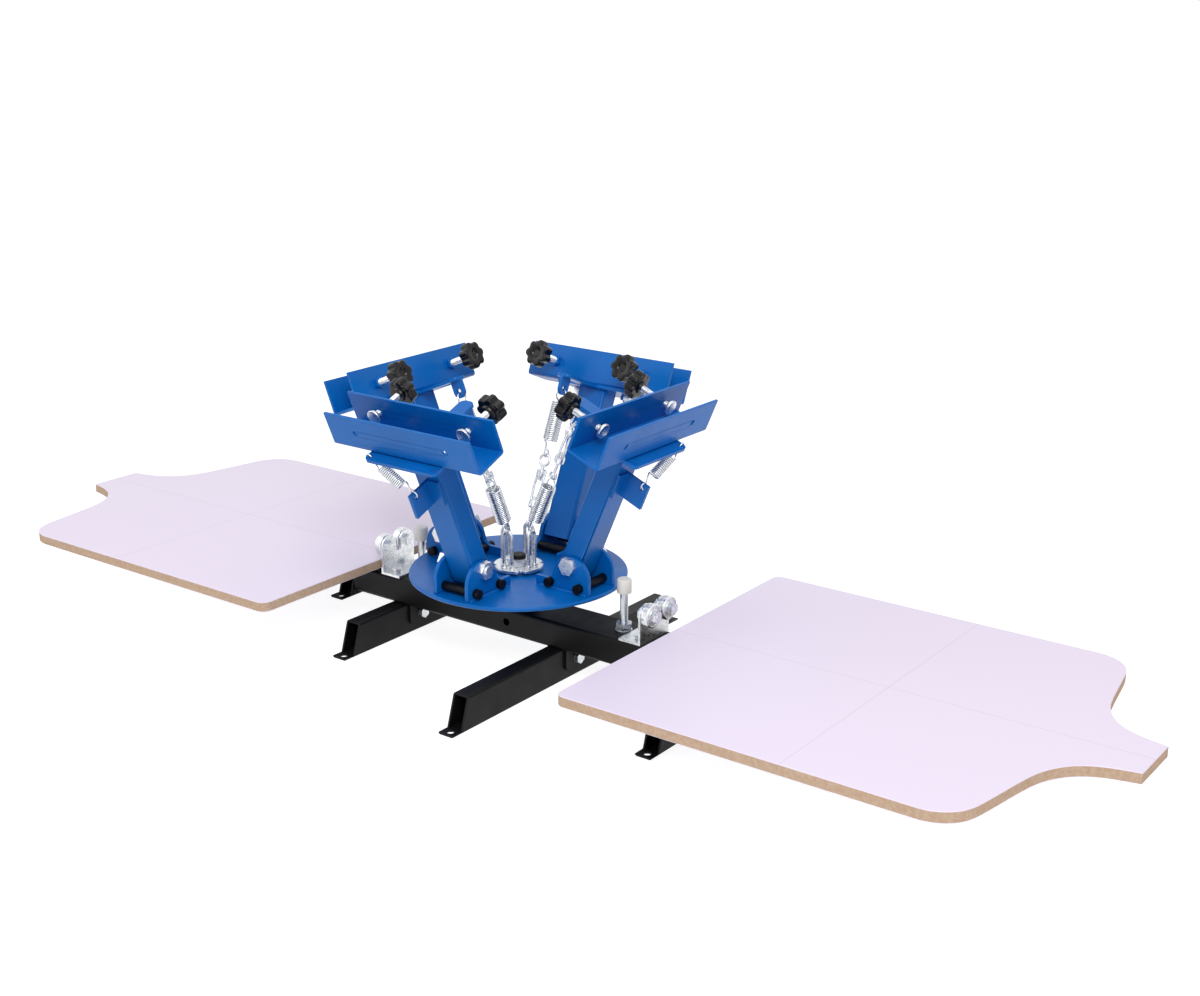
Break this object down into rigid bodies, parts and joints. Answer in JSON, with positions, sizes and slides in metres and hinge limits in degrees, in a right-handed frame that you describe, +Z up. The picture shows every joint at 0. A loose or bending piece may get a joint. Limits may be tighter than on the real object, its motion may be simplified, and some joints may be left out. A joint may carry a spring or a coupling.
{
  "type": "tabletop screen printing press",
  "caption": "Tabletop carousel press for screen printing: sprung screen arms on a turning disc, boards on a long beam, knob clamps and roller gates.",
  "frame": {"origin": "centre of the outer box, on the table under the feet", "axes": "+X along the two boards towards the one whose edge lies further out, +Y to the rear, +Z up"},
  "size_m": [1.53, 0.45, 0.3667],
  "materials": {
    "black_powder_coat": "satin powder coat",
    "blue_powder_coat": "gloss powder coat",
    "laminated_board": "white laminate on fibreboard",
    "black_plastic": "moulded knob on a zinc plated screw",
    "black_oxide_steel": "black oxide",
    "bronze": "sintered bronze",
    "zinc_plated_steel": "bright zinc plate"
  },
  "bodies": {
    "base": {"main_beam": "black_powder_coat", "foot_centre": "black_powder_coat", "side_feet": "black_powder_coat", "foot_cheeks": "black_powder_coat", "foot_bolts": "zinc_plated_steel", "spindle_post": "black_powder_coat", "thrust_washer": "bronze", "spindle_nut": "zinc_plated_steel", "down_stops": "zinc_plated_steel", "gate_brackets": "zinc_plated_steel", "gate_fixings": "zinc_plated_steel"},
    "carousel": {"carousel_disc": "blue_powder_coat", "hub_plate": "zinc_plated_steel", "hub_staples": "zinc_plated_steel", "lug_plates": "blue_powder_coat", "lug_bolts": "black_oxide_steel", "pivot_bolts": "zinc_plated_steel"},
    "arm_front": {"arm_leg_front": "blue_powder_coat", "head_plate_front": "blue_powder_coat", "screen_clamp_front": "blue_powder_coat", "head_fittings_front": "zinc_plated_steel"},
    "turnbuckle_body_front": {"turnbuckle_front": "zinc_plated_steel"},
    "spring_body_front": {"return_spring_front": "zinc_plated_steel"},
    "screw_front_a": {"clamp_screw_front_a": "black_plastic"},
    "screw_front_b": {"clamp_screw_front_b": "black_plastic"},
    "arm_right": {"arm_leg_right": "blue_powder_coat", "head_plate_right": "blue_powder_coat", "screen_clamp_right": "blue_powder_coat", "head_fittings_right": "zinc_plated_steel"},
    "turnbuckle_body_right": {"turnbuckle_right": "zinc_plated_steel"},
    "spring_body_right": {"return_spring_right": "zinc_plated_steel"},
    "screw_right_a": {"clamp_screw_right_a": "black_plastic"},
    "screw_right_b": {"clamp_screw_right_b": "black_plastic"},
    "arm_rear": {"arm_leg_rear": "blue_powder_coat", "head_plate_rear": "blue_powder_coat", "screen_clamp_rear": "blue_powder_coat", "head_fittings_rear": "zinc_plated_steel"},
    "turnbuckle_body_rear": {"turnbuckle_rear": "zinc_plated_steel"},
    "spring_body_rear": {"return_spring_rear": "zinc_plated_steel"},
    "screw_rear_a": {"clamp_screw_rear_a": "black_plastic"},
    "screw_rear_b": {"clamp_screw_rear_b": "black_plastic"},
    "arm_left": {"arm_leg_left": "blue_powder_coat", "head_plate_left": "blue_powder_coat", "screen_clamp_left": "blue_powder_coat", "head_fittings_left": "zinc_plated_steel"},
    "turnbuckle_body_left": {"turnbuckle_left": "zinc_plated_steel"},
    "spring_body_left": {"return_spring_left": "zinc_plated_steel"},
    "screw_left_a": {"clamp_screw_left_a": "black_plastic"},
    "screw_left_b": {"clamp_screw_left_b": "black_plastic"},
    "station_right": {"board_right": "laminated_board", "board_carrier_right": "black_powder_coat", "carrier_fixings_right": "zinc_plated_steel"},
    "roller_right_front": {"gate_roller_right_front": "zinc_plated_steel"},
    "roller_right_rear": {"gate_roller_right_rear": "zinc_plated_steel"},
    "station_left": {"board_left": "laminated_board", "board_carrier_left": "black_powder_coat", "carrier_fixings_left": "zinc_plated_steel"},
    "roller_left_front": {"gate_roller_left_front": "zinc_plated_steel"},
    "roller_left_rear": {"gate_roller_left_rear": "zinc_plated_steel"}
  },
  "joints": [
    {"name": "carousel_spin", "type": "hinge", "parent": "base", "child": "carousel", "pos_m": [-0.012, 0, 0.113], "axis": [0, 0, 1], "continuous": true},
    {"name": "arm_front_swing", "type": "hinge", "parent": "carousel", "child": "arm_front", "pos_m": [-0.012, -0.097, 0.148], "axis": [1, 0, 0], "range_deg": [0, 67.1], "stiffness_Nm_per_rad": 2, "springref_deg": -114.59},
    {"name": "link_front_swing", "type": "hinge", "parent": "arm_front", "child": "turnbuckle_body_front", "pos_m": [-0.012, -0.088, 0.32201], "axis": [1, 0, 0], "range_deg": [-14.89, 0.5]},
    {"name": "spring_front_stretch", "type": "slide", "parent": "turnbuckle_body_front", "child": "spring_body_front", "axis": [0, 0.4039, -0.9148], "range_m": [-0.0005, 0.07255], "deforming": ["return_spring_front"]},
    {"name": "screw_front_a_feed", "type": "slide", "parent": "arm_front", "child": "screw_front_a", "axis": [0, -0.9212, -0.3891], "range_m": [-0.005, 0.022]},
    {"name": "screw_front_b_feed", "type": "slide", "parent": "arm_front", "child": "screw_front_b", "axis": [0, -0.9212, -0.3891], "range_m": [-0.005, 0.022]},
    {"name": "arm_right_swing", "type": "hinge", "parent": "carousel", "child": "arm_right", "pos_m": [0.085, 0, 0.148], "axis": [0, 1, 0], "range_deg": [0, 67.1], "stiffness_Nm_per_rad": 2, "springref_deg": -114.59},
    {"name": "link_right_swing", "type": "hinge", "parent": "arm_right", "child": "turnbuckle_body_right", "pos_m": [0.07601, 0, 0.32201], "axis": [0, 1, 0], "range_deg": [-14.89, 0.5]},
    {"name": "spring_right_stretch", "type": "slide", "parent": "turnbuckle_body_right", "child": "spring_body_right", "axis": [-0.4039, 0, -0.9148], "range_m": [-0.0005, 0.07255], "deforming": ["return_spring_right"]},
    {"name": "screw_right_a_feed", "type": "slide", "parent": "arm_right", "child": "screw_right_a", "axis": [0.9212, 0, -0.3891], "range_m": [-0.005, 0.022]},
    {"name": "screw_right_b_feed", "type": "slide", "parent": "arm_right", "child": "screw_right_b", "axis": [0.9212, 0, -0.3891], "range_m": [-0.005, 0.022]},
    {"name": "arm_rear_swing", "type": "hinge", "parent": "carousel", "child": "arm_rear", "pos_m": [-0.012, 0.097, 0.148], "axis": [-1, 0, 0], "range_deg": [0, 67.1], "stiffness_Nm_per_rad": 2, "springref_deg": -114.59},
    {"name": "link_rear_swing", "type": "hinge", "parent": "carousel", "child": "turnbuckle_body_rear", "pos_m": [-0.012, 0.02016, 0.16837], "axis": [-1, 0, 0], "range_deg": [-0.5, 53.21]},
    {"name": "spring_rear_stretch", "type": "slide", "parent": "turnbuckle_body_rear", "child": "spring_body_rear", "axis": [0, 0.4039, 0.9148], "range_m": [-0.0005, 0.07255], "deforming": ["return_spring_rear"]},
    {"name": "screw_rear_a_feed", "type": "slide", "parent": "arm_rear", "child": "screw_rear_a", "axis": [0, 0.9212, -0.3891], "range_m": [-0.005, 0.022]},
    {"name": "screw_rear_b_feed", "type": "slide", "parent": "arm_rear", "child": "screw_rear_b", "axis": [0, 0.9212, -0.3891], "range_m": [-0.005, 0.022]},
    {"name": "arm_left_swing", "type": "hinge", "parent": "carousel", "child": "arm_left", "pos_m": [-0.109, 0, 0.148], "axis": [0, -1, 0], "range_deg": [0, 67.1], "stiffness_Nm_per_rad": 2, "springref_deg": -114.59},
    {"name": "link_left_swing", "type": "hinge", "parent": "carousel", "child": "turnbuckle_body_left", "pos_m": [-0.03216, 0, 0.16837], "axis": [0, -1, 0], "range_deg": [-0.5, 53.21]},
    {"name": "spring_left_stretch", "type": "slide", "parent": "turnbuckle_body_left", "child": "spring_body_left", "axis": [-0.4039, 0, 0.9148], "range_m": [-0.0005, 0.07255], "deforming": ["return_spring_left"]},
    {"name": "screw_left_a_feed", "type": "slide", "parent": "arm_left", "child": "screw_left_a", "axis": [-0.9212, 0, -0.3891], "range_m": [-0.005, 0.022]},
    {"name": "screw_left_b_feed", "type": "slide", "parent": "arm_left", "child": "screw_left_b", "axis": [-0.9212, 0, -0.3891], "range_m": [-0.005, 0.022]},
    {"name": "station_right_slide", "type": "slide", "parent": "base", "child": "station_right", "axis": [1, 0, 0], "range_m": [0, 0.012]},
    {"name": "roller_right_front_spin", "type": "hinge", "parent": "base", "child": "roller_right_front", "pos_m": [0.1923, -0.0163, 0.1085], "axis": [1, 0, 0], "continuous": true},
    {"name": "roller_right_rear_spin", "type": "hinge", "parent": "base", "child": "roller_right_rear", "pos_m": [0.1923, 0.0163, 0.1085], "axis": [1, 0, 0], "continuous": true},
    {"name": "station_left_slide", "type": "slide", "parent": "base", "child": "station_left", "axis": [-1, 0, 0], "range_m": [0, 0.012]},
    {"name": "roller_left_front_spin", "type": "hinge", "parent": "base", "child": "roller_left_front", "pos_m": [-0.2163, -0.0163, 0.1085], "axis": [-1, 0, 0], "continuous": true},
    {"name": "roller_left_rear_spin", "type": "hinge", "parent": "base", "child": "roller_left_rear", "pos_m": [-0.2163, 0.0163, 0.1085], "axis": [-1, 0, 0], "continuous": true}
  ],
  "couplings": [
    {"joint": "link_front_swing", "follows": "arm_front_swing", "ratio": -0.21451},
    {"joint": "spring_front_stretch", "follows": "arm_front_swing", "m_per_rad": 0.061525},
    {"joint": "link_right_swing", "follows": "arm_right_swing", "ratio": -0.21451},
    {"joint": "spring_right_stretch", "follows": "arm_right_swing", "m_per_rad": 0.061525},
    {"joint": "link_rear_swing", "follows": "arm_rear_swing", "ratio": 0.78549},
    {"joint": "spring_rear_stretch", "follows": "arm_rear_swing", "m_per_rad": 0.061525},
    {"joint": "link_left_swing", "follows": "arm_left_swing", "ratio": 0.78549},
    {"joint": "spring_left_stretch", "follows": "arm_left_swing", "m_per_rad": 0.061525}
  ]
}
